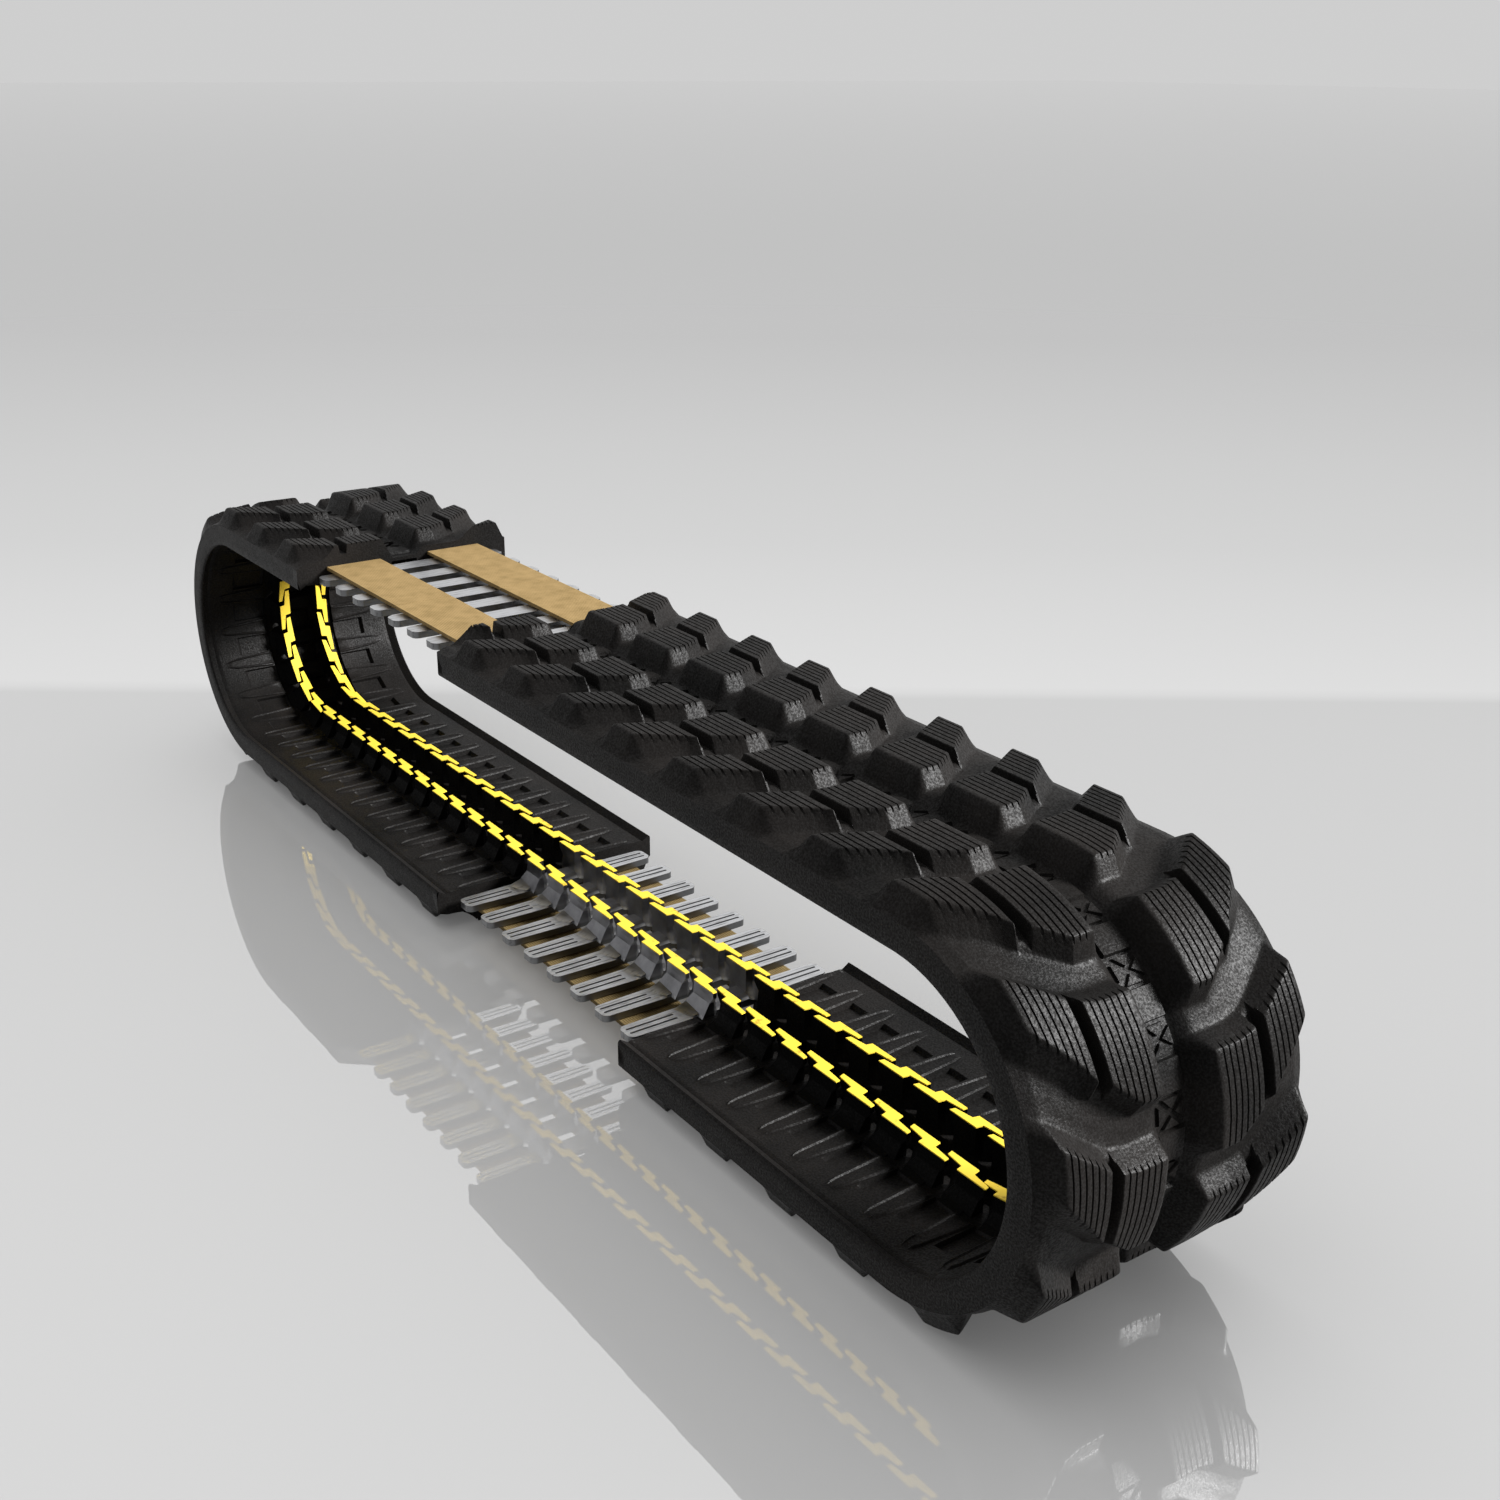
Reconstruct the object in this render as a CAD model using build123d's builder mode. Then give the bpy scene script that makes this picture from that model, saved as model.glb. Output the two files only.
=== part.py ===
from build123d import *
from math import pi, radians, cos, sin
import os

# Rubber track for a compact excavator: an endless loop lying on its side view in XZ.
# +X runs along the loop, +Y across its width, +Z up. The origin is on the ground,
# under the middle of the loop. Lengths are millimetres.

# ---- driving dimensions -------------------------------------------------------------
pitch = 52.5                       # link to link, along the pitch line
straight_links = 28                # links in each straight run
end_links = 9                      # links in each half round end
track_width = 300.0

link_angle = 180 / end_links
pitch_radius = end_links * pitch / pi
half_straight = straight_links / 2

# Every height is a distance from the loop's middle plane, or from an end's centre.
rail_radius = pitch_radius - 30.1          # face that the rollers run on
inner_radius = pitch_radius - 3.9          # rubber face inside the loop
plate_top = pitch_radius + 2.1             # core plate, inner side
plate_bottom = plate_top + 8.0             # core plate, outer side
belt_inner = pitch_radius + 13.1
belt_outer = belt_inner + 4.2
web_inner = pitch_radius + 12.0            # thin rubber web that closes the sprocket windows
channel_radius = pitch_radius + 16.0       # floor of the centre channel in the tread
shoulder_radius = pitch_radius + 20.2      # outer edge of the carcass
valley_radius = pitch_radius + 25.5        # floor between the tread lugs
tread_radius = pitch_radius + 43.8         # ground contact

ground_to_middle = tread_radius
loop_end = half_straight * pitch

# Places on the loop are counted in links from the middle of the upper run, rightward.
right_top = half_straight
right_foot = right_top + end_links
lower_middle = right_foot + half_straight
left_foot = lower_middle + half_straight

# The upper run is three pieces that hinge where the rubber bends as it sags.
hinge_line = 5                             # links either side of the middle
sag_slit = 1.6                             # slit in the rubber over a roller end
level_slit = 2.6                           # slit where the tread closes as the run sags
belt_slit = 1.6

# The rubber is cut away between these links, which leaves the steel and belts bare.
upper_bare = (-9, -1.2)
lower_bare = (-2, 6)

half_width = track_width / 2
side_top = pitch_radius - 4.0              # top of the vertical side
face_edge = 134.8                          # crease of the inner face
tooth_half = 20.0                          # half width of the trench for the sprocket teeth
strip_half = 0.29 * pitch                  # half width of the flat centre strip
channel_half = 0.42 * pitch                # half width of the channel at the valley floor
shoulder_start = 2.62 * pitch              # where the outer shoulder begins to fall away

belt_near = 34.0                           # belt edges, from the centre line
belt_far = 108.7

# ---- steel core ---------------------------------------------------------------------
wing_reach = 127.5
wing_half = 14.5
wing_tip_half = 13.0
wing_tip_round = 8.0
ridge_groove = 3.0
ridge_depth = 1.6
ridge_spacing = 8.6
ridge_start = 60.0

bar_inner = pitch_radius - 4.0             # inner side of the bar that the sprocket pulls on
bar_half = 11.5
cap_thickness = 1.2                        # hard rail face on each guide lug
lug_top = rail_radius + cap_thickness
arm_depth = 6.0
waist_radius = pitch_radius - 15.0
foot_radius = plate_top + 1.0              # the lug's foot sinks a little into the plate
foot_room = (0.44 * pitch, 0.88 * pitch)   # half length and reach of the lug's foot
bar_reach = 0.40 * pitch
gusset_root = 0.70 * pitch
gusset_reach = 62.0
gusset_height = 7.0
gusset_half = wing_half - 1.5

# ---- tread lug ----------------------------------------------------------------------
# One lug is a swept arm: an inner block beside the channel and an outer block that
# trails behind it, with a straight slot between the two.
lug_half = 0.60
lug_slope = 0.22
lug_lag = 0.10                             # lugs stand a little behind their window
lug_foot = valley_radius - 1.5             # moulded into the carcass
lug_rise = tread_radius - lug_foot
trim_depth = 18.0
trim_height = 6.0
slot_start = 1.52 * pitch
slot_end = 1.73 * pitch
slot_floor = pitch_radius + 32.0


def loop_plane(place):
    """Plane on the loop's middle line.

    Local x runs along the loop, clockwise as seen from -Y, and local z points out of
    it, so a local height is a radius measured as in the dimensions above.
    """
    if place <= right_top:
        angle, x = 0, place * pitch
    elif place <= right_foot:
        angle, x = (place - right_top) * link_angle, loop_end
    elif place <= left_foot:
        angle, x = 180, (lower_middle - place) * pitch
    else:
        angle, x = 180 + (place - left_foot) * link_angle, -loop_end
    turn = radians(angle)
    return Plane(origin=(x, 0, ground_to_middle),
                 x_dir=(cos(turn), 0, -sin(turn)), z_dir=(sin(turn), 0, cos(turn)))


def cross_section(x, outward):
    """Plane across a straight run, facing +X, whose local y points out of the loop.

    outward is 1 on the upper run and -1 on the lower run.
    """
    return Plane(origin=(x, 0, ground_to_middle), x_dir=(0, outward, 0), z_dir=(1, 0, 0))


def links_between(first, last):
    """Locations of the links whose steel cores lie between two places on the loop.

    They are turned about their own z, because the front arms point the other way round.
    """
    turned = Location((0, 0, 0), (0, 0, 180))
    return [Location(loop_plane(first + n + 0.5)) * turned for n in range(int(last - first))]


# ---- one steel core, in the frame of its link -----------------------------------------
# +x is the way that the front arms point. Outlines are for the lug at positive y.
def pad_outline():
    """The rail face: a rear arm beside the teeth and a front arm outside it, joined by a
    block in the middle. Each arm reaches past the arm of the next link."""
    points = [(-0.58, 0.410), (0.12, 0.410), (0.15, 0.560), (0.56, 0.605), (0.57, 0.700),
              (-0.12, 0.700), (-0.15, 0.570), (-0.55, 0.520)]
    return [(x * pitch, y * pitch) for x, y in points]


def foot_outline():
    """The same outline where the lug meets the plate."""
    points = [(-0.40, 0.350), (0.20, 0.350), (0.32, 0.450), (0.42, 0.560), (0.42, 0.860),
              (-0.34, 0.860), (-0.42, 0.760), (-0.42, 0.600)]
    return [(x * pitch, y * pitch) for x, y in points]


def waist_outline():
    """And where the lug is slimmest, below its arms."""
    points = [(-0.42, 0.400), (0.13, 0.400), (0.16, 0.555), (0.45, 0.600), (0.46, 0.715),
              (-0.13, 0.715), (-0.16, 0.580), (-0.42, 0.530)]
    return [(x * pitch, y * pitch) for x, y in points]


def filled(points):
    with BuildLine() as outline:
        Polyline(*points, close=True)
    return outline.edges()


with BuildPart() as guide_lug:
    with BuildSketch(Plane.XY.offset(lug_top)):
        make_face(filled(pad_outline()))
    extrude(amount=arm_depth)
    with BuildSketch(Plane.XY.offset(lug_top + arm_depth)):
        make_face(filled(pad_outline()))
    with BuildSketch(Plane.XY.offset(waist_radius)):
        make_face(filled(waist_outline()))
    loft(ruled=True)
    with BuildSketch(Plane.XY.offset(waist_radius)):
        make_face(filled(waist_outline()))
    with BuildSketch(Plane.XY.offset(foot_radius)):
        make_face(filled(foot_outline()))
    loft(ruled=True)
    # gusset that runs down onto the wing, further out at its rear
    with BuildSketch(Plane.YZ.offset(-gusset_half)):
        with BuildLine():
            Polyline((gusset_root, plate_top - gusset_height), (gusset_reach, foot_radius),
                     (gusset_root, foot_radius), close=True)
        make_face()
    extrude(amount=2 * gusset_half, taper=4)

with BuildPart() as core:
    with BuildSketch(Plane.XY.offset(plate_top)):
        with BuildLine():
            Polyline((-wing_tip_half, wing_reach), (wing_tip_half, wing_reach),
                     (wing_half, gusset_reach), (wing_half, -gusset_reach),
                     (wing_tip_half, -wing_reach), (-wing_tip_half, -wing_reach),
                     (-wing_half, -gusset_reach), (-wing_half, gusset_reach), close=True)
        make_face()
        fillet(vertices().group_by(Axis.Y)[0] + vertices().group_by(Axis.Y)[-1], wing_tip_round)
    extrude(amount=plate_bottom - plate_top)
    # two grooves along each wing leave three ridges
    with BuildSketch(Plane.XY.offset(plate_top)):
        for side in (-1, 1):
            with Locations(*[(n * ridge_spacing, side * (ridge_start + wing_reach) / 2)
                             for n in (-0.5, 0.5)]):
                SlotOverall(wing_reach - ridge_start - 9, ridge_groove, rotation=90)
    extrude(amount=ridge_depth, mode=Mode.SUBTRACT)
    # bar between the guide lugs, which the sprocket teeth pull on
    with BuildSketch(Plane.XZ.offset(-bar_reach)):
        with BuildLine():
            Polyline((-wing_half, foot_radius), (-bar_half, bar_inner + 3),
                     (-bar_half + 3, bar_inner), (bar_half - 3, bar_inner),
                     (bar_half, bar_inner + 3), (wing_half, foot_radius), close=True)
        make_face()
    extrude(amount=2 * bar_reach)
    add(guide_lug.part)
    add(mirror(guide_lug.part, about=Plane.XZ))

with BuildPart() as rail_face:
    with BuildSketch(Plane.XY.offset(rail_radius)):
        make_face(filled(pad_outline()))
    extrude(amount=cap_thickness)
    mirror(about=Plane.XZ)


# ---- rubber ---------------------------------------------------------------------------
def carcass_outline():
    with BuildLine() as outline:
        half = [(strip_half, channel_radius), (channel_half, valley_radius),
                (shoulder_start, valley_radius), (half_width, shoulder_radius),
                (half_width, side_top), (face_edge, inner_radius), (tooth_half, inner_radius),
                (tooth_half, web_inner)]
        Polyline(*half, *[(-y, r) for y, r in reversed(half)], close=True)
    return outline.edges()


def draw_belts(sides, mode=Mode.ADD):
    middle = (belt_near + belt_far) / 2
    with Locations(*[(side * middle, (belt_inner + belt_outer) / 2) for side in sides]):
        Rectangle(belt_far - belt_near, belt_outer - belt_inner, mode=mode)


def cut_core_pockets(first, last):
    """Room in the rubber for the plates, the lug feet and the gussets of the cores."""
    fit = 0.2
    top = foot_radius + fit
    deep = top - inner_radius + 2
    with Locations(*links_between(first, last)):
        with Locations((0, 0, (plate_top + plate_bottom) / 2)):
            Box(2 * (wing_half + fit), 2 * (wing_reach + fit), plate_bottom - plate_top + 2 * fit,
                mode=Mode.SUBTRACT)
        with Locations((0, 0, top - deep / 2)):
            Box(2 * (wing_half + fit), 2 * (gusset_reach + 1), deep, mode=Mode.SUBTRACT)
            Box(2 * foot_room[0], 2 * foot_room[1], deep, mode=Mode.SUBTRACT)


def straight_rubber(x_from, x_to, outward, links):
    with BuildPart() as section:
        with BuildSketch(cross_section(x_from, outward)):
            make_face(carcass_outline())
            draw_belts([-1, 1], Mode.SUBTRACT)
        extrude(amount=x_to - x_from)
        cut_core_pockets(*links)
    return section.part


def round_rubber(x, outward, links):
    with BuildPart() as section:
        with BuildSketch(cross_section(x, outward)):
            make_face(carcass_outline())
            draw_belts([-1, 1], Mode.SUBTRACT)
        revolve(axis=end_axis(x), revolution_arc=180)
        cut_core_pockets(*links)
    return section.part


def end_axis(x):
    return Axis((x, 0, ground_to_middle), (0, 1, 0))


def lug_outline(height, stretch=1):
    """Plan of a tread lug at a height above its top face (negative below it)."""
    grow = -height / lug_rise * lug_slope
    side = lug_half + grow
    outer = 2.55 + 0.9 * grow
    points = [(-side, 0.60 - 0.8 * grow), (side, 0.60 - 0.8 * grow), (side, 1.05 + 0.3 * grow),
              (0.20 + 1.1 * grow, 1.60 + 0.3 * grow), (-0.62 + 1.1 * grow, outer),
              (-1.22 - grow, outer), (-0.66 - grow, 1.50 - 0.3 * grow),
              (-side, 1.15 - 0.3 * grow)]
    with BuildLine() as outline:
        Polyline(*[(x * pitch * stretch, y * pitch) for x, y in points], close=True)
    return outline.edges()


with BuildPart() as flat_lug:
    with BuildSketch(Plane.XY.offset(lug_foot)):
        make_face(lug_outline(lug_foot - tread_radius))
    with BuildSketch(Plane.XY.offset(tread_radius)):
        make_face(lug_outline(0))
    loft(ruled=True)
    with Locations((0, (slot_start + slot_end) / 2, slot_floor)):
        Box(4 * pitch, slot_end - slot_start, lug_rise,
            align=(Align.CENTER, Align.CENTER, Align.MIN), mode=Mode.SUBTRACT)

with BuildPart() as round_lug:
    # the same lug, trimmed to a half round end
    with BuildSketch(Plane.XY.offset(lug_foot - trim_depth)):
        make_face(lug_outline(lug_foot - trim_depth - tread_radius))
    with BuildSketch(Plane.XY.offset(tread_radius + trim_height)):
        make_face(lug_outline(trim_height, stretch=1 + trim_height / pitch_radius))
    loft(ruled=True)
    with BuildSketch(Plane.XZ.offset(-track_width)):
        Circle(tread_radius)
        Circle(lug_foot, mode=Mode.SUBTRACT)
    extrude(amount=track_width, mode=Mode.INTERSECT)
    with BuildSketch(Plane.XZ.offset(-slot_end)):
        Circle(2 * tread_radius)
        Circle(slot_floor, mode=Mode.SUBTRACT)
    extrude(amount=slot_end - slot_start, mode=Mode.SUBTRACT)


def lug_row(side, x_from, x_to, links):
    """Tread lugs of one row (side -1 is -Y), cut flush with their stretch of rubber.

    Lugs of the -Y row stand at odd places and lugs of the +Y row at even places.
    """
    odd = 1 if side < 0 else 0
    with BuildPart() as row:
        for place in range(int(links[0]) - 1, int(links[1]) + 3):
            if place % 2 == odd:
                bent = right_top < place < right_foot or place > left_foot
                lug = round_lug.part if bent else flat_lug.part
                with Locations(Location(loop_plane(place - lug_lag))):
                    add(lug if side > 0 else mirror(lug, about=Plane.XZ))
        with Locations(((x_from + x_to) / 2, 0, ground_to_middle)):
            Box(x_to - x_from, track_width, 2 * ground_to_middle, mode=Mode.INTERSECT)
        # only the run that these links belong to
        middle = loop_plane((links[0] + links[1]) / 2)
        with Locations(Location(middle)):
            Box(4 * loop_end, track_width, ground_to_middle,
                align=(Align.CENTER, Align.CENTER, Align.MIN), mode=Mode.INTERSECT)
    return row.part


def straight_belt(x_from, x_to, outward, side):
    with BuildPart() as belt:
        with BuildSketch(cross_section(x_from, outward)):
            draw_belts([side * outward])
        extrude(amount=x_to - x_from)
    return belt.part


def base_belt(side):
    """The belt from the top of the right end, along the ground, to the left end."""
    with BuildPart() as belt:
        add(straight_belt(-loop_end, loop_end, -1, side))
        for x, outward in ((loop_end, 1), (-loop_end, -1)):
            with BuildSketch(cross_section(x, outward)):
                draw_belts([side * outward])
            revolve(axis=end_axis(x), revolution_arc=180)
    return belt.part


def core_group(piece, links):
    with BuildPart() as group:
        with Locations(*links_between(*links)):
            add(piece.part)
    return group.part


# ---- pieces ------------------------------------------------------------------------------
hinge_x = hinge_line * pitch
upper_links = {"upper_left": (-half_straight, upper_bare[0]), "upper_middle": (-1, hinge_line),
               "upper_right": (hinge_line, half_straight)}
pocket_links = {"upper_middle": (-2, hinge_line)}      # the first bare core reaches in
upper_spans = {
    "upper_left": (-loop_end + sag_slit, upper_bare[0] * pitch),
    "upper_middle": (upper_bare[1] * pitch, hinge_x - level_slit / 2),
    "upper_right": (hinge_x + level_slit / 2, loop_end - sag_slit)}
lower_links = {"lower_left": (lower_middle - lower_bare[0], left_foot),
               "lower_right": (right_foot, lower_middle - lower_bare[1])}
lower_spans = {"lower_left": (-loop_end, lower_bare[0] * pitch),
               "lower_right": (lower_bare[1] * pitch, loop_end)}
end_links_at = {"right_end": (right_top, right_foot),
                "left_end": (left_foot, left_foot + end_links)}
end_spans = {"right_end": (loop_end, loop_end + tread_radius),
             "left_end": (-loop_end - tread_radius, -loop_end)}
bare_links = {"lower_bare": (lower_middle - lower_bare[1], lower_middle - lower_bare[0]),
              "upper_left_bare": (upper_bare[0], -hinge_line),
              "upper_middle_bare": (-hinge_line, -1)}
rows = {"near": -1, "far": 1}

pieces = {}
for name, span in upper_spans.items():
    pieces[f"carcass_{name}"] = straight_rubber(
        *span, 1, pocket_links.get(name, upper_links[name]))
for name, span in lower_spans.items():
    pieces[f"carcass_{name}"] = straight_rubber(*span, -1, lower_links[name])
pieces["carcass_right_end"] = round_rubber(loop_end, 1, end_links_at["right_end"])
pieces["carcass_left_end"] = round_rubber(-loop_end, -1, end_links_at["left_end"])

links_of = {**upper_links, **lower_links, **end_links_at}
spans_of = {**upper_spans, **lower_spans, **end_spans}
for name, links in links_of.items():
    for row, side in rows.items():
        pieces[f"tread_{name}_{row}"] = lug_row(side, *spans_of[name], links)

for name, links in {**links_of, **bare_links}.items():
    pieces[f"cores_{name}"] = core_group(core, links)
    pieces[f"rail_faces_{name}"] = core_group(rail_face, links)

belt_spans = {"upper_left": (-loop_end + belt_slit, -hinge_x - belt_slit / 2),
              "upper_middle": (-hinge_x + belt_slit / 2, hinge_x - belt_slit / 2),
              "upper_right": (hinge_x + belt_slit / 2, loop_end - belt_slit)}
for row, side in rows.items():
    pieces[f"belt_base_{row}"] = base_belt(side)
    for name, span in belt_spans.items():
        pieces[f"belt_{name}_{row}"] = straight_belt(*span, 1, side)

os.makedirs("parts", exist_ok=True)
for name, piece in pieces.items():
    piece.label = name
    export_step(piece, f"parts/{name}.step", write_pcurves=False)
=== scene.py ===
import math

import bmesh
import bpy
import numpy as np
from mathutils import Matrix, Vector


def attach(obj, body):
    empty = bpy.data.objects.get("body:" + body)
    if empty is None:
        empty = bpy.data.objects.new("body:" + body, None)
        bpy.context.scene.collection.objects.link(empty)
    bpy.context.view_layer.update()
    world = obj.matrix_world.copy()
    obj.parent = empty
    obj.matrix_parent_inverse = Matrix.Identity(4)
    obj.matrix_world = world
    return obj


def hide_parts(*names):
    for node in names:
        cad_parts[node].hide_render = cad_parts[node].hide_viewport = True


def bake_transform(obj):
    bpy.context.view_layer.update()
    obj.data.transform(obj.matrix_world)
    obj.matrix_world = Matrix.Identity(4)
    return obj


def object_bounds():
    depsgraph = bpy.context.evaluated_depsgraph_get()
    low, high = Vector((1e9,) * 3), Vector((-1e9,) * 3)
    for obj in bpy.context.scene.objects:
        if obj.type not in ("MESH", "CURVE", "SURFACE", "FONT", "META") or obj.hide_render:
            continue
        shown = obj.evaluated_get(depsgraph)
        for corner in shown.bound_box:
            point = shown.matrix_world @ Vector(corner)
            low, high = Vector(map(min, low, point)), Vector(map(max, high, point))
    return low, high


# Rubber track for a compact excavator, cut away in two places. The rubber is built on the
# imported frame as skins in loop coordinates: s along the loop in links from the middle of
# the upper run, y across it, and r out from the loop's middle plane or an end's centre.

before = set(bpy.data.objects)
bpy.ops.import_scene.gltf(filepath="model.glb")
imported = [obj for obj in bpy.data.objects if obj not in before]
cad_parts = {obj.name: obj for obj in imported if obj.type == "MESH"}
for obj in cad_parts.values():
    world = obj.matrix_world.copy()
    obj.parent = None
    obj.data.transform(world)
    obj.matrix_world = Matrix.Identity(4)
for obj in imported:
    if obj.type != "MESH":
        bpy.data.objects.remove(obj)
cad_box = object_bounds()

# ---- sizes, in metres ------------------------------------------------------------------
PITCH = 0.0525
END_LINKS = 9
STRAIGHT_LINKS = 28
PITCH_RADIUS = END_LINKS * PITCH / math.pi
TOP = cad_box[1][2] / 2                  # tread radius, which is also the middle's height
HALF_WIDTH = cad_box[1][1]
LOOP_END = STRAIGHT_LINKS / 2 * PITCH
RIGHT_TOP = STRAIGHT_LINKS / 2
RIGHT_FOOT = RIGHT_TOP + END_LINKS
MIDDLE = RIGHT_FOOT + STRAIGHT_LINKS / 2
LEFT_FOOT = MIDDLE + STRAIGHT_LINKS / 2
LEFT_TOP = LEFT_FOOT + END_LINKS
LOOP = LEFT_TOP + RIGHT_TOP

VALLEY = PITCH_RADIUS + 0.0255
CHANNEL = PITCH_RADIUS + 0.0155
SHOULDER = PITCH_RADIUS + 0.0202
INNER = PITCH_RADIUS - 0.0039
SIDE_TOP = PITCH_RADIUS - 0.0055
SLOT_FLOOR = PITCH_RADIUS + 0.0310
PLATE_TOP = PITCH_RADIUS + 0.0021        # inner face of the steel plates
GROOVE = 0.0022
MM = 0.001


def loop_points(s, y, r):
    """World positions of loop coordinates, given as arrays."""
    s, y, r = np.broadcast_arrays(np.asarray(s, float), y, r)
    s = np.where(s > LEFT_TOP, s - LOOP, s)
    turn = math.pi / END_LINKS
    a_right = (s - RIGHT_TOP) * turn
    a_left = math.pi + (s - LEFT_FOOT) * turn
    x = np.select(
        [s <= RIGHT_TOP, s <= RIGHT_FOOT, s <= LEFT_FOOT],
        [s * PITCH, LOOP_END + r * np.sin(a_right), (MIDDLE - s) * PITCH],
        -LOOP_END + r * np.sin(a_left))
    z = np.select(
        [s <= RIGHT_TOP, s <= RIGHT_FOOT, s <= LEFT_FOOT],
        [r, r * np.cos(a_right), -r], r * np.cos(a_left))
    return np.stack([x, y, z + TOP], -1)


# ---- mesh helpers ------------------------------------------------------------------------
class Skin:
    """Collects faces given in loop coordinates and makes one mesh object of them."""

    def __init__(self):
        self.points = []
        self.faces = []
        self.count = 0

    def grid(self, s, y, r, flip=False):
        """A sheet of quads over 2-D arrays; its front faces out of the loop."""
        s, y, r = np.broadcast_arrays(s, y, r)
        rows, columns = s.shape
        index = self.count + np.arange(rows * columns).reshape(rows, columns)
        a, b = index[:-1, :-1], index[1:, :-1]
        c, d = index[1:, 1:], index[:-1, 1:]
        quads = np.stack([a, b, c, d] if not flip else [a, d, c, b], -1)
        world = loop_points(s, y, r).reshape(-1, 3)
        used = quads.reshape(-1, 4)
        local = used - self.count
        spread = np.ptp(s.reshape(-1)[local], axis=1) + np.ptp(
            np.stack([y, r], -1).reshape(-1, 2)[local], axis=1).max(axis=1)
        area = np.linalg.norm(np.cross(
            world[local[:, 2]] - world[local[:, 0]], world[local[:, 3]] - world[local[:, 1]]),
            axis=1)
        self.faces.extend(used[(area > 1e-10) & (spread > 0)].tolist())
        self.points.append(world)
        self.count += rows * columns

    def build(self, name, material, sharp=32, merge=2e-5):
        mesh = bpy.data.meshes.new(name)
        points = np.concatenate(self.points)
        mesh.from_pydata(points.tolist(), [], self.faces)
        edit = bmesh.new()
        edit.from_mesh(mesh)
        bmesh.ops.remove_doubles(edit, verts=edit.verts, dist=merge)
        loose = [v for v in edit.verts if not v.link_faces]
        bmesh.ops.delete(edit, geom=loose, context="VERTS")
        edit.to_mesh(mesh)
        edit.free()
        mesh.materials.append(material)
        mesh.shade_smooth()
        mesh.set_sharp_from_angle(angle=math.radians(sharp))
        piece = bpy.data.objects.new(name, mesh)
        bpy.context.scene.collection.objects.link(piece)
        return piece


def profile(points, at):
    x, y = zip(*points)
    return np.interp(at, x, y)


# ---- outer face of the rubber ---------------------------------------------------------------
FRONT_EDGE = [(0.30, 0.60), (1.00, 0.60), (1.32, 0.40), (1.62, 0.20), (1.75, 0.18),
              (1.92, -0.02), (2.62, -0.62), (2.86, -0.80)]
REAR_EDGE = [(0.30, -0.60), (1.15, -0.60), (1.50, -0.66), (1.75, -0.76), (2.60, -1.22),
             (2.86, -1.34)]
SLOPE = [(0, 1), (0.05, 0.985), (0.12, 0.92), (0.27, 0.74), (0.42, 0.56), (0.78, 0.14),
         (0.89, 0.04), (1, 0)]             # way down the slope, and height left
NOTCH = [(0.72, 0), (0.90, 0.7), (0.98, 1), (1, 1)]   # how far a groove cuts in, by height
FRONT_LENGTH = [(1.0, 0.26), (1.7, 0.28), (2.3, 0.42), (2.86, 0.50)]
REAR_LENGTH = [(1.5, 0.26), (2.3, 0.34), (2.86, 0.40)]
LUG_LAG = 0.10                            # lugs stand a little behind their window
LUG_SPACING = 2
ACROSS_TOP = (0, 0.05, 0.30, 0.50, 0.70, 0.95, 1)
FLOOR_STEPS = 3

GROOVE_HALF = 0.015
INNER_GROOVES = [0.735 + 0.128 * n for n in range(6)]
OUTER_GROOVES = [1.87 + 0.125 * n for n in range(6)]
SLOT = (1.51, 1.72)


def tread_stations():
    """Distances from the centre line, in links, where the outer face changes."""
    stations = [0.30, 0.325, 0.36, 0.50, 0.545, 0.575, 0.60, 0.64]
    for groove in INNER_GROOVES + OUTER_GROOVES:
        stations += [groove + GROOVE_HALF * k for k in (-1.25, -0.75, 0.75, 1.25)]
    for edge in SLOT:
        stations += [edge - 0.025, edge - 0.012, edge + 0.012, edge + 0.025]
    stations += [2.57, 2.60, 2.63, 2.68, 2.80, HALF_WIDTH / PITCH]
    return np.array(sorted(stations))


def tread_top(y):
    """Radius of the lug's top face, without its slot and grooves."""
    return profile([(0.30, CHANNEL), (0.325, CHANNEL + 1.2 * MM), (0.545, TOP - 3.4 * MM),
                   (0.575, TOP - 1.1 * MM), (0.60, TOP - 0.3 * MM), (0.64, TOP),
                   (2.55, TOP), (2.60, TOP - 0.8 * MM), (2.63, TOP - 2.2 * MM),
                   (2.80, SHOULDER + 2.4 * MM), (HALF_WIDTH / PITCH, SHOULDER)], y)


def slot_ceiling(y):
    """Radius that the slot holds the lug down to; the slot is open at both ends."""
    return profile([(SLOT[0] - 0.03, 1), (SLOT[0] - 0.012, TOP - 0.6 * MM),
                    (SLOT[0] + 0.025, SLOT_FLOOR), (SLOT[1] - 0.025, SLOT_FLOOR),
                    (SLOT[1] + 0.012, TOP - 0.6 * MM), (SLOT[1] + 0.03, 1)], y)


def tread_floor(y):
    return profile([(0.30, CHANNEL), (0.325, CHANNEL + 0.6 * MM), (0.50, VALLEY - 1.6 * MM),
                    (0.60, VALLEY - 0.3 * MM), (0.72, VALLEY), (2.30, VALLEY),
                    (2.62, VALLEY - 1.2 * MM), (2.80, SHOULDER + 1.0 * MM),
                    (HALF_WIDTH / PITCH, SHOULDER)], y)


def grooved(y):
    """1 in the bottom of a groove, 0 on a rib."""
    depth = np.zeros_like(y)
    for groove in INNER_GROOVES + OUTER_GROOVES:
        depth = np.maximum(depth, np.clip((1.25 - abs(y - groove) / GROOVE_HALF) * 2, 0, 1))
    return depth


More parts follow.
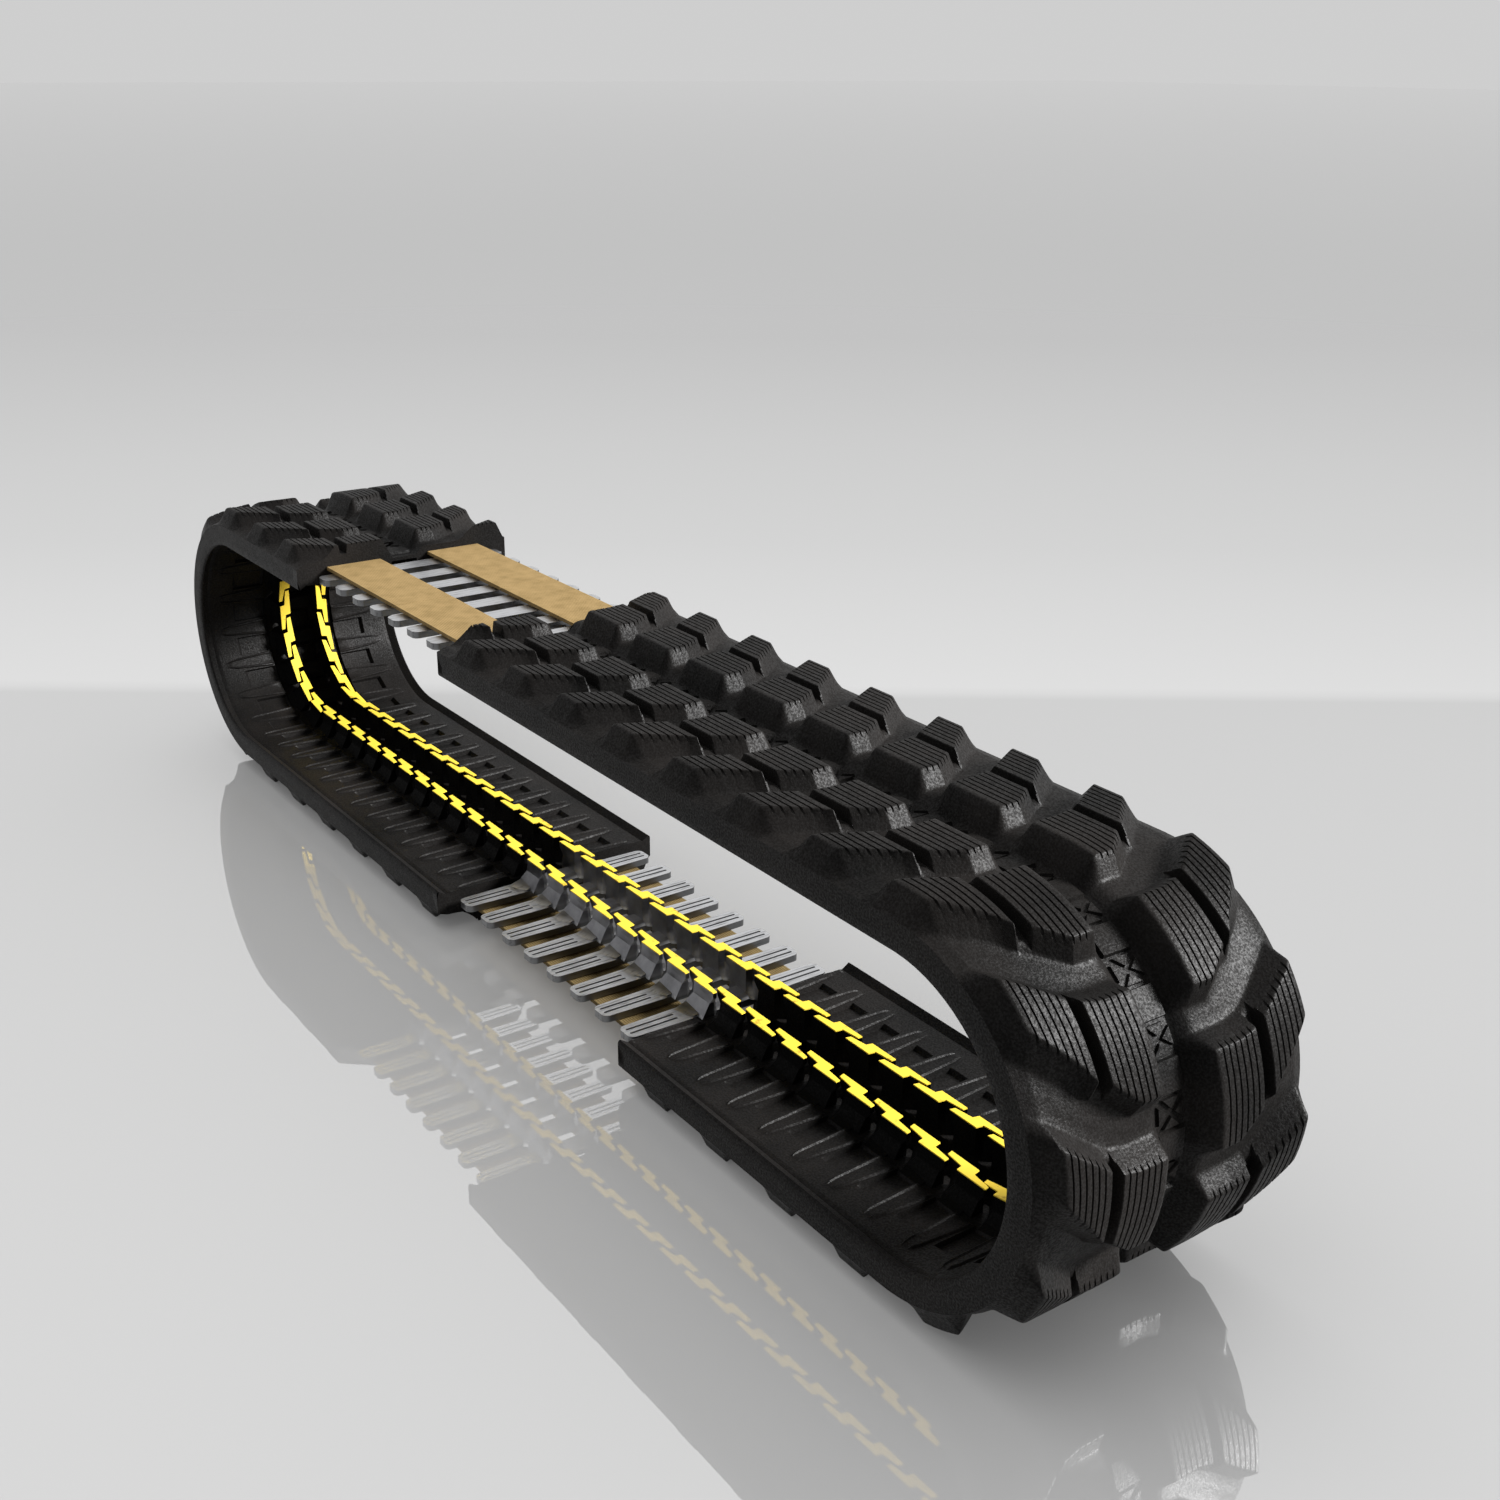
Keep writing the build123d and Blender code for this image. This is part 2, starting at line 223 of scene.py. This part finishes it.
def tread_lines(side, first, last):
    """Loop coordinates of the outer face on one side of the channel (side -1 is -Y)."""
    y = tread_stations()
    front, rear = profile(FRONT_EDGE, y), profile(REAR_EDGE, y)
    front_length, rear_length = profile(FRONT_LENGTH, y), profile(REAR_LENGTH, y)
    top, floor, groove = tread_top(y), tread_floor(y), grooved(y)
    odd = 1 if side < 0 else 0
    begin = int(math.floor(first)) - 4
    begin += (begin + odd) % 2
    lines, heights = [], []
    for place in range(begin, int(last) + 5, LUG_SPACING):
        centre = place - LUG_LAG
        for t, h in reversed(SLOPE[1:]):
            lines.append(centre + rear - t * rear_length)
            heights.append(h)
        for t in ACROSS_TOP:
            lines.append(centre + rear + (front - rear) * t)
            heights.append(1)
        for t, h in SLOPE[1:]:
            lines.append(centre + front + t * front_length)
            heights.append(h)
        for n in range(1, FLOOR_STEPS):
            start = centre + front + front_length
            stop = centre + LUG_SPACING + rear - rear_length
            lines.append(start + (stop - start) * n / FLOOR_STEPS)
            heights.append(0)
    s = np.array(lines)
    h = np.array(heights)[:, None]
    r = floor + (top - floor) * h
    r = np.minimum(r - GROOVE * groove * profile(NOTCH, h), slot_ceiling(y))
    return (*clip_lines(s, r, first, last), y * PITCH)


def clip_lines(s, r, first, last):
    """Holds the lines of a sheet between two places, keeping its surface."""
    clipped = np.clip(s, first, last)
    held = np.empty_like(r)
    for column in range(s.shape[1]):
        held[:, column] = np.interp(clipped[:, column], s[:, column], r[:, column])
    return clipped, held


def side_profile():
    """Outline of the carcass edge, y in mm, from the shoulder to the crease of the inner face."""
    return np.array([(150.0, SHOULDER), (150.0, SHOULDER - 1.5 * MM),
                     (150.0, PITCH_RADIUS + 4 * MM), (150.0, SIDE_TOP),
                     (149.2, SIDE_TOP - 2.0 * MM), (147.4, SIDE_TOP - 3.2 * MM),
                     (138.0, INNER + 1.1 * MM), (135.5, INNER + 0.3 * MM), (133.0, INNER)])


# ---- inner face of the rubber ---------------------------------------------------------------
PANEL_DEPTH = 0.0050
RIB_HEIGHT = 0.0022
INNER_SPAN = 2.533                        # |y| of the crease, in links


def inner_lines(first, last):
    """Loop coordinates of the inner face, from the lug trench to the crease."""
    y = np.array([0.36, 0.40, 0.98, 1.02, 1.06, 1.10, 1.40, 1.70, 1.84, 1.88, 1.92, 2.10, 2.24,
                  2.30, 2.33, 2.45, INNER_SPAN])
    rib = profile([(0.36, 0.21), (1.08, 0.20), (1.40, 0.180), (2.10, 0.130), (2.30, 0.085)], y)
    on_rib = profile([(1.04, 0), (1.08, 1), (2.27, 1), (2.32, 0)], y)
    on_panel = profile([(1.00, 0), (1.05, 1), (1.84, 1), (1.92, 0)], y)
    floor = profile([(0.36, PITCH_RADIUS + 2.0 * MM), (0.98, PITCH_RADIUS + 1.0 * MM),
                     (1.02, INNER), (3, INNER)], y)
    lines, heights = [], []
    for place in range(int(first) - 2, int(last) + 3):
        for offset, raise_by, sink_by in (
                (-0.5, 0, 1), (-0.30, 0, 1), (-0.262, 0, 1), (-0.245, 0, 0.0)):
            lines.append(place + offset + 0 * y)
            heights.append((raise_by, sink_by))
        for k, raise_by in ((-1.14, 0), (-1.00, 0.9), (-0.88, 1), (-0.70, 0.35), (0, 0.25),
                            (0.70, 0.35), (0.88, 1), (1.00, 0.9), (1.14, 0)):
            lines.append(place + np.clip(k * rib, -0.24, 0.24))
            heights.append((raise_by, 0))
        for offset, raise_by, sink_by in ((0.245, 0, 0.0), (0.262, 0, 1), (0.30, 0, 1)):
            lines.append(place + offset + 0 * y)
            heights.append((raise_by, sink_by))
    s = np.array(lines)
    raise_by, sink_by = np.array(heights).T[:, :, None]
    r = floor - RIB_HEIGHT * raise_by * on_rib + PANEL_DEPTH * sink_by * on_panel
    return (*clip_lines(s, r, first, last), y * PITCH)


def trench_lines(first, last):
    """Sprocket tooth trench between the guide lugs: open windows between the steel bars."""
    y = np.array([-0.36, -0.34, 0.34, 0.36])
    s = np.arange(math.floor(first), math.ceil(last) + 0.01, 0.25)[:, None] + 0 * y
    r = np.array([PITCH_RADIUS + 2 * MM, PITCH_RADIUS + 11 * MM, PITCH_RADIUS + 11 * MM,
                  PITCH_RADIUS + 2 * MM]) + 0 * s
    return (*clip_lines(s, r, first, last), y * PITCH)


# ---- one stretch of rubber --------------------------------------------------------------------
SLIVER = 1e-4                             # half the length that a cut's outline is read over
CUT_LEVELS = 7
PAD_MARGIN = 0.3                          # how far the centre pads keep from a cut, in links


def along(first, last, step=0.25):
    count = max(2, int(math.ceil((last - first) / step)) + 1)
    return np.linspace(first, last, count)


def rubber(name, first, last, cut_first=False, cut_last=False):
    """One stretch of the rubber loop as a single skin; a cut end gets a face."""
    skin = Skin()
    for side in (-1, 1):
        s, r, y = tread_lines(side, first, last)
        skin.grid(s, side * y, r, flip=side < 0)
        s, r, y = inner_lines(first, last)
        skin.grid(s, side * y, r, flip=side > 0)
        edge = side_profile()
        s = along(first, last)[:, None] + 0 * edge[:, 0]
        skin.grid(s, side * edge[:, 0] * MM, edge[:, 1], flip=side < 0)
    s, r, y = trench_lines(first, last)
    skin.grid(s, y, r, flip=True)
    strip = np.array([-0.30, 0.30]) * PITCH
    s = along(first, last)[:, None] + 0 * strip
    skin.grid(s, strip, CHANNEL + 0 * s)
    strip_pads(skin, first, last)
    for place, wanted, flip in ((first, cut_first, False), (last, cut_last, True)):
        if wanted:
            cut_face(skin, place, flip)
    return skin.build(name, materials["carcass_rubber"])


def cut_face(skin, place, flip):
    """The sawn end of the rubber, between its outer and its inner outline."""
    outer_y, outer_r, inner_y, inner_r = [], [], [], []
    for side in (-1, 1):
        s, r, y = tread_lines(side, place - SLIVER, place + SLIVER)
        outer_y.append(side * y)
        outer_r.append(r[-1])
        s, r, y = inner_lines(place - SLIVER, place + SLIVER)
        inner_y.append(side * y)
        inner_r.append(r[-1])
    s, r, y = trench_lines(place - SLIVER, place + SLIVER)
    inner_y.append(y)
    inner_r.append(r[-1])
    outer_y, outer_r = map(np.concatenate, (outer_y, outer_r))
    inner_y, inner_r = map(np.concatenate, (inner_y, inner_r))
    order = np.argsort(outer_y)
    y = np.unique(np.concatenate([outer_y, inner_y, [-HALF_WIDTH, HALF_WIDTH]]))
    top = np.interp(y, outer_y[order], outer_r[order])
    edge = side_profile()
    low_y = np.concatenate([inner_y, edge[2:, 0] * MM, -edge[2:, 0] * MM])
    low_r = np.concatenate([inner_r, edge[2:, 1], edge[2:, 1]])
    order = np.argsort(low_y, kind="stable")
    bottom = np.interp(y, low_y[order], low_r[order])
    levels = np.linspace(0, 1, CUT_LEVELS)[:, None]
    r = bottom + (top - bottom) * levels
    skin.grid(place + 0 * r, y + 0 * r, r, flip=not flip)


def strip_pads(skin, first, last):
    """Raised plain squares at the cores and crossed squares at the windows."""
    for place in range(int(math.floor(first)), int(math.ceil(last)) + 1):
        for centre, crossed in ((place, True), (place + 0.5, False)):
            if first + PAD_MARGIN < centre < last - PAD_MARGIN:
                if crossed:
                    for turn in range(4):
                        triangle_pad(skin, centre, turn)
                else:
                    plain_pad(skin, centre)


def plain_pad(skin, centre):
    x = np.array([-0.240, -0.222, -0.12, 0, 0.12, 0.222, 0.240])
    y = np.array([-0.288, -0.272, 0.272, 0.288])
    lift = np.array([0, 1, 1, 1, 1, 1, 0])[:, None] * np.array([0, 1, 1, 0])
    skin.grid(centre + x[:, None] + 0 * y, y * PITCH + 0 * x[:, None], CHANNEL + 3.6 * MM * lift)


def triangle_pad(skin, centre, turn):
    """One of the four triangles that a crossed square is made of."""
    half_x, half_y, gap = 0.215, 0.275, 0.046
    corners = [(-half_x + gap * 1.6, -half_y), (half_x - gap * 1.6, -half_y), (0, -gap * 1.3)]
    if turn % 2:
        corners = [(-half_x, half_y - gap * 1.9), (-half_x, -half_y + gap * 1.9), (-gap, 0)]
    if turn >= 2:
        corners = [(-x, -y) for x, y in corners]
    middle = np.mean(corners, axis=0)
    ring = np.array(corners + corners[:1])
    inner = middle + (ring - middle) * 0.86
    s = centre + np.stack([ring[:, 0], inner[:, 0], middle[0] + 0 * ring[:, 0]])
    y = np.stack([ring[:, 1], inner[:, 1], middle[1] + 0 * ring[:, 1]]) * PITCH
    r = CHANNEL + np.array([0, 2.6 * MM, 2.6 * MM])[:, None] + 0 * s
    skin.grid(s, y, r, flip=False)


# ---- materials ----------------------------------------------------------------------------------
RIDGES_PER_LINK = 6


def new_material(name):
    material = bpy.data.materials.new(name)
    material.use_nodes = True
    tree = material.node_tree
    return material, tree.nodes, tree.links, tree.nodes["Principled BSDF"]


def noise(nodes, links, coords, scale, detail=3.0, roughness=0.55):
    node = nodes.new("ShaderNodeTexNoise")
    node.inputs["Scale"].default_value = scale
    node.inputs["Detail"].default_value = detail
    node.inputs["Roughness"].default_value = roughness
    links.new(coords, node.inputs["Vector"])
    return node


def ramp(nodes, links, source, stops):
    node = nodes.new("ShaderNodeValToRGB")
    elements = node.color_ramp.elements
    while len(elements) < len(stops):
        elements.new(0.5)
    for element, (position, colour) in zip(elements, stops):
        element.position = position
        element.color = (*colour, 1)
    links.new(source, node.inputs["Fac"])
    return node


def bump(nodes, links, height, strength, distance, normal=None):
    node = nodes.new("ShaderNodeBump")
    node.inputs["Strength"].default_value = strength
    node.inputs["Distance"].default_value = distance
    links.new(height, node.inputs["Height"])
    if normal is not None:
        links.new(normal, node.inputs["Normal"])
    return node


def rubber_material(name, dark, light, speckle=1.0):
    """Moulded rubber: a dull skin that glitters in fine grains where light strikes it."""
    material, nodes, links, shader = new_material(name)
    coords = nodes.new("ShaderNodeTexCoord").outputs["Object"]
    broad = noise(nodes, links, coords, 9, 4)
    colour = ramp(nodes, links, broad.outputs["Fac"], [(0.35, dark), (0.68, light)])
    links.new(colour.outputs["Color"], shader.inputs["Base Color"])
    fine = noise(nodes, links, coords, 480, 2, 0.6)
    medium = noise(nodes, links, coords, 130, 3)
    gloss = ramp(nodes, links, medium.outputs["Fac"], [(0.3, (0.42,) * 3), (0.75, (0.52,) * 3)])
    links.new(gloss.outputs["Color"], shader.inputs["Roughness"])
    glint = ramp(nodes, links, fine.outputs["Fac"],
                 [(0.40, (0.05 * speckle,) * 3), (0.66, (0.23 * speckle,) * 3)])
    links.new(glint.outputs["Color"], shader.inputs["Specular IOR Level"])
    first = bump(nodes, links, medium.outputs["Fac"], 0.25, 0.0008)
    last = bump(nodes, links, fine.outputs["Fac"], 0.45 * speckle, 0.0008, first.outputs["Normal"])
    links.new(last.outputs["Normal"], shader.inputs["Normal"])
    shader.inputs["IOR"].default_value = 1.42
    return material


def painted_upright_shade(nodes, links, darkest):
    """Painted shade: 1 on faces that lie flat, and less on upright ones, which are painted darker as
    if in shade.
    """
    split = nodes.new("ShaderNodeSeparateXYZ")
    links.new(nodes.new("ShaderNodeTexCoord").outputs["Normal"], split.inputs["Vector"])
    flat = nodes.new("ShaderNodeMath")
    flat.operation = "ABSOLUTE"
    links.new(split.outputs["Z"], flat.inputs[0])
    return ramp(nodes, links, flat.outputs["Value"],
                [(0.12, (darkest,) * 3), (0.62, (1,) * 3)])


def multiplied(nodes, links, first, second):
    """Two colours multiplied."""
    node = nodes.new("ShaderNodeMix")
    node.data_type = "RGBA"
    node.blend_type = "MULTIPLY"
    node.inputs["Factor"].default_value = 1
    links.new(first, node.inputs["A"])
    links.new(second, node.inputs["B"])
    return node


def forging_streaks(nodes, links, coords):
    stretch = nodes.new("ShaderNodeMapping")
    stretch.inputs["Scale"].default_value = (1, 0.08, 1)
    links.new(coords, stretch.inputs["Vector"])
    return noise(nodes, links, stretch.outputs["Vector"], 420, 4, 0.6)


def ridged(nodes, links, coords, streaks):
    """The streaks, a little darker in lines that run along the wings."""
    ridges = nodes.new("ShaderNodeTexWave")
    ridges.wave_type = "BANDS"
    ridges.bands_direction = "X"
    ridges.inputs["Scale"].default_value = 2 * math.pi / (20 * PITCH / RIDGES_PER_LINK)
    ridges.inputs["Distortion"].default_value = 3.0
    links.new(coords, ridges.inputs["Vector"])
    lines = ramp(nodes, links, ridges.outputs["Fac"], [(0.03, (0.80,) * 3), (0.32, (1.05,) * 3)])
    scale = nodes.new("ShaderNodeMath")
    scale.operation = "MULTIPLY"
    links.new(streaks.outputs["Fac"], scale.inputs[0])
    links.new(lines.outputs["Color"], scale.inputs[1])
    return scale


def plate_zone(nodes, links, coords):
    """0 on the guide lugs and 1 on the plates, by the distance from the loop's middle plane."""
    split = nodes.new("ShaderNodeSeparateXYZ")
    links.new(coords, split.inputs["Vector"])
    height = nodes.new("ShaderNodeMath")
    height.operation = "SUBTRACT"
    height.inputs[1].default_value = TOP
    links.new(split.outputs["Z"], height.inputs[0])
    radius = nodes.new("ShaderNodeMath")
    radius.operation = "ABSOLUTE"
    links.new(height.outputs["Value"], radius.inputs[0])
    zone = nodes.new("ShaderNodeMapRange")
    zone.inputs["From Min"].default_value = PLATE_TOP - 0.0030
    zone.inputs["From Max"].default_value = PLATE_TOP - 0.0004
    links.new(radius.outputs["Value"], zone.inputs["Value"])
    return zone


def steel_material(name, lug, plate, rough=(0.30, 0.46)):
    """Forged steel: pale scaled plates, and darker guide lugs that stand on them."""
    material, nodes, links, shader = new_material(name)
    coords = nodes.new("ShaderNodeTexCoord").outputs["Object"]
    streaks = forging_streaks(nodes, links, coords)
    bright = ramp(nodes, links, ridged(nodes, links, coords, streaks).outputs["Value"],
                  [(0.16, tuple(0.30 * c for c in plate)), (0.46, plate)])
    # the plates' upright faces are darkened here with painted shade
    shaded = multiplied(nodes, links, bright.outputs["Color"],
                        painted_upright_shade(nodes, links, 0.24).outputs["Color"])
    blotches = noise(nodes, links, coords, 60, 4)
    dull = ramp(nodes, links, blotches.outputs["Fac"],
                [(0.30, tuple(0.6 * c for c in lug)), (0.70, lug)])
    mixed = nodes.new("ShaderNodeMix")
    mixed.data_type = "RGBA"
    links.new(plate_zone(nodes, links, coords).outputs["Result"], mixed.inputs["Factor"])
    links.new(dull.outputs["Color"], mixed.inputs["A"])
    links.new(shaded.outputs["Result"], mixed.inputs["B"])
    links.new(mixed.outputs["Result"], shader.inputs["Base Color"])
    gloss = ramp(nodes, links, blotches.outputs["Fac"],
                 [(0.3, (rough[0],) * 3), (0.7, (rough[1],) * 3)])
    links.new(gloss.outputs["Color"], shader.inputs["Roughness"])
    shader.inputs["Metallic"].default_value = 1
    last = bump(nodes, links, streaks.outputs["Fac"], 0.3, 0.0006)
    links.new(last.outputs["Normal"], shader.inputs["Normal"])
    return material


def paint_material(name, main, worn):
    material, nodes, links, shader = new_material(name)
    coords = nodes.new("ShaderNodeTexCoord").outputs["Object"]
    broad = noise(nodes, links, coords, 70, 5, 0.6)
    colour = ramp(nodes, links, broad.outputs["Fac"], [(0.28, worn), (0.38, main)])
    links.new(colour.outputs["Color"], shader.inputs["Base Color"])
    shader.inputs["Roughness"].default_value = 0.55
    shader.inputs["Specular IOR Level"].default_value = 0.15
    fine = noise(nodes, links, coords, 400, 3)
    last = bump(nodes, links, fine.outputs["Fac"], 0.2, 0.0003)
    links.new(last.outputs["Normal"], shader.inputs["Normal"])
    return material


def belt_material(name, dark, light):
    material, nodes, links, shader = new_material(name)
    coords = nodes.new("ShaderNodeTexCoord").outputs["Object"]
    cords = nodes.new("ShaderNodeTexWave")
    cords.wave_type = "BANDS"
    cords.bands_direction = "Y"
    cords.inputs["Scale"].default_value = 110
    cords.inputs["Distortion"].default_value = 0.6
    links.new(coords, cords.inputs["Vector"])
    broad = noise(nodes, links, coords, 60, 4)
    mix = nodes.new("ShaderNodeMath")
    mix.operation = "MULTIPLY_ADD"
    links.new(cords.outputs["Fac"], mix.inputs[0])
    mix.inputs[1].default_value = 0.35
    links.new(broad.outputs["Fac"], mix.inputs[2])
    colour = ramp(nodes, links, mix.outputs["Value"], [(0.35, dark), (0.85, light)])
    links.new(colour.outputs["Color"], shader.inputs["Base Color"])
    shader.inputs["Roughness"].default_value = 0.85
    shader.inputs["Specular IOR Level"].default_value = 0.1
    last = bump(nodes, links, cords.outputs["Fac"], 0.5, 0.0006)
    links.new(last.outputs["Normal"], shader.inputs["Normal"])
    return material


materials = {
    "carcass_rubber": rubber_material("black_rubber", (0.0056, 0.0054, 0.0052),
                                      (0.0120, 0.0106, 0.0098)),
    "lug_rubber": rubber_material("lug_coating", (0.004, 0.004, 0.004),
                                  (0.008, 0.0078, 0.0076), 0.5),
    "core_steel": steel_material("core_steel", (0.40, 0.40, 0.42), (0.93, 0.94, 0.96)),
    "rail_paint": paint_material("rail_paint", (0.86, 0.62, 0.060), (0.45, 0.27, 0.03)),
    "belt_light": belt_material("belt_light", (0.19, 0.128, 0.050), (0.30, 0.205, 0.090)),
    # the base run's belts get a darker copy of the belt material as painted shade
    "belt_shaded": belt_material("belt_shaded", (0.11, 0.078, 0.034), (0.19, 0.138, 0.060)),
}


# ---- pieces ---------------------------------------------------------------------------------------
def stands_for(piece, *names):
    wanted = [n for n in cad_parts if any(n.startswith(start) for start in names)]
    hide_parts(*wanted)


LEFT_CUT = -9.0                           # where the rubber of the upper run stops
RIGHT_CUT = -1.2
LOWER_RIGHT_CUT = MIDDLE - 5.97
LOWER_LEFT_CUT = MIDDLE + 1.97
SEAM = 9.6

upper_middle = rubber("rubber_upper_middle", RIGHT_CUT, SEAM, cut_first=True)
right_end = rubber("rubber_right_end", SEAM, RIGHT_FOOT)
lower_right = rubber("rubber_lower_right", RIGHT_FOOT, LOWER_RIGHT_CUT, cut_last=True)
lower_left = rubber("rubber_lower_left", LOWER_LEFT_CUT, LEFT_FOOT, cut_first=True)
left_end = rubber("rubber_left_end", LEFT_FOOT, LOOP + LEFT_CUT, cut_last=True)

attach(lower_right, "base_run")
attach(lower_left, "base_run")
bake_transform(upper_middle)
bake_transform(right_end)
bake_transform(left_end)
stands_for(upper_middle, "carcass_upper_middle", "tread_upper_middle")
stands_for(right_end, "carcass_right_end", "tread_right_end", "carcass_upper_right",
           "tread_upper_right")
stands_for(lower_right, "carcass_lower_right", "tread_lower_right")
stands_for(lower_left, "carcass_lower_left", "tread_lower_left")
stands_for(left_end, "carcass_left_end", "tread_left_end", "carcass_upper_left",
           "tread_upper_left")

for name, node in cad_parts.items():
    if name.startswith("cores"):
        node.data.materials[0] = materials["core_steel" if "bare" in name else "lug_rubber"]
    elif name.startswith("rail"):
        node.data.materials[0] = materials["rail_paint"]
    elif name.startswith("belt"):
        # the base run's belts take the darker copy, which is painted shade
        node.data.materials[0] = materials["belt_shaded" if "base" in name else "belt_light"]


# ---- stage ----------------------------------------------------------------------------------------
VIEW_YAW = math.radians(144.76)           # the direction of the main view
AWAY = (math.cos(VIEW_YAW), math.sin(VIEW_YAW))


def floor_material():
    """Pale floor with painted light: darker towards a line behind the object, lighter just beyond it
    where a lit studio sweep would rise, and darker again further off.
    """
    material, nodes, links, shader = new_material("studio_floor")
    coords = nodes.new("ShaderNodeTexCoord").outputs["Object"]
    place = nodes.new("ShaderNodeMapping")
    place.vector_type = "TEXTURE"
    place.inputs["Location"].default_value = (*(FLOOR_LINE * Vector(AWAY)), 0)
    place.inputs["Rotation"].default_value = (0, 0, math.atan2(AWAY[1], AWAY[0]))
    place.inputs["Scale"].default_value = (FLOOR_FADE, 1, 1)
    links.new(coords, place.inputs["Vector"])
    split = nodes.new("ShaderNodeSeparateXYZ")
    links.new(place.outputs["Vector"], split.inputs["Vector"])
    shift = nodes.new("ShaderNodeMath")
    shift.operation = "ADD"
    shift.inputs[1].default_value = 0.5
    links.new(split.outputs["X"], shift.inputs[0])
    # painted light: these tones stand in for how a sweep behind the object would be lit
    colour = ramp(nodes, links, shift.outputs["Value"],
                  [(0.10, (0.94,) * 3), (0.499, (0.80,) * 3), (0.5005, (0.96,) * 3),
                   (0.62, (0.84,) * 3), (1, (0.66,) * 3)])
    links.new(colour.outputs["Color"], shader.inputs["Base Color"])
    shader.inputs["Roughness"].default_value = 0.01
    shader.inputs["Metallic"].default_value = 0.38
    return material


FLOOR_LINE = 0.88                         # where the painted lighter band of the sweep starts, from the loop's middle
FLOOR_FADE = 8.0
FLOOR_REACH = 60
FLOOR_Z = -0.0005                         # just below the tread, so that the two don't flicker
floor_mesh = bpy.data.meshes.new("studio_floor")
corners = [(-1, -1), (1, -1), (1, 1), (-1, 1)]
floor_mesh.from_pydata([(x * FLOOR_REACH, y * FLOOR_REACH, FLOOR_Z) for x, y in corners], [],
                       [(0, 1, 2, 3)])
floor_mesh.materials.append(floor_material())
floor = bpy.data.objects.new("studio_floor", floor_mesh)
bpy.context.scene.collection.objects.link(floor)


def area_light(name, towards, distance, size, power, colour=(1, 1, 1)):
    data = bpy.data.lights.new(name, "AREA")
    data.shape = "RECTANGLE"
    data.size, data.size_y = size
    data.energy = power
    data.color = colour
    light = bpy.data.objects.new(name, data)
    direction = Vector(towards).normalized()
    light.location = direction * distance + Vector((0, 0, TOP))
    light.rotation_euler = direction.to_track_quat("Z", "Y").to_euler()
    bpy.context.scene.collection.objects.link(light)
    return light


def linked(name, items):
    group = bpy.data.collections.new(name)
    for item in items:
        group.objects.link(item)
    return group


key = area_light("key", (0.57, 0.66, 0.49), 12, (2.9, 2.9), 4000)
painted = [node for name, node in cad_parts.items() if name.startswith(("rail", "belt"))]
key.light_linking.receiver_collection = linked(
    "lit_by_key", [upper_middle, right_end, lower_right, lower_left, left_end] + painted)
overhead = area_light("overhead", (-0.1, -0.2, 1.0), 7.0, (9.0, 8.0), 120)
overhead.visible_glossy = False
# the floor has a light of its own, which no piece shades, so that it stays even
wash = area_light("floor_wash", (-0.1, 0.1, 1.0), 7.0, (9.0, 9.0), 190)
wash.visible_glossy = False
wash.light_linking.receiver_collection = linked("washed", (floor,))
wash.light_linking.blocker_collection = linked("wash_blockers", (floor,))


def studio_world():
    """A pale room: bright above and on the far side of the object, dim on the near side."""
    room = bpy.data.worlds.new("studio")
    room.use_nodes = True
    nodes, links = room.node_tree.nodes, room.node_tree.links
    towards = nodes.new("ShaderNodeTexCoord").outputs["Generated"]
    turned = nodes.new("ShaderNodeVectorMath")
    turned.operation = "DOT_PRODUCT"
    turned.inputs[1].default_value = (0.75 * AWAY[0], 0.75 * AWAY[1], 0.66)
    links.new(towards, turned.inputs[0])
    level = nodes.new("ShaderNodeMapRange")
    level.inputs["From Min"].default_value = -0.75
    level.inputs["From Max"].default_value = 0.65
    level.inputs["To Min"].default_value = 0.16
    level.inputs["To Max"].default_value = 0.62
    links.new(turned.outputs["Value"], level.inputs["Value"])
    background = nodes["Background"]
    background.inputs["Color"].default_value = (1, 1, 1, 1)
    links.new(level.outputs["Result"], background.inputs["Strength"])
    return room


bpy.context.scene.world = studio_world()
bpy.context.scene.view_settings.view_transform = "Standard"

# ---- camera ---------------------------------------------------------------------------------------
camera_data = bpy.data.cameras.new("camera")
camera_data.sensor_fit = "HORIZONTAL"
camera_data.sensor_width = 36
camera_data.lens = 42.98
camera = bpy.data.objects.new("camera", camera_data)
yaw, pitch, roll = VIEW_YAW, math.radians(-21.23), math.radians(0.447)
forward = Vector((math.cos(pitch) * math.cos(yaw), math.cos(pitch) * math.sin(yaw), math.sin(pitch)))
level = forward.cross(Vector((0, 0, 1))).normalized()
upward = level.cross(forward)
right = level * math.cos(roll) + upward * math.sin(roll)
above = upward * math.cos(roll) - level * math.sin(roll)
placed = Matrix((right, above, -forward)).transposed().to_4x4()
placed.translation = Vector((1.6866, -0.9584, 0.7926 + TOP))
camera.matrix_world = placed
bpy.context.scene.collection.objects.link(camera)
bpy.context.scene.camera = camera

bpy.context.view_layer.update()
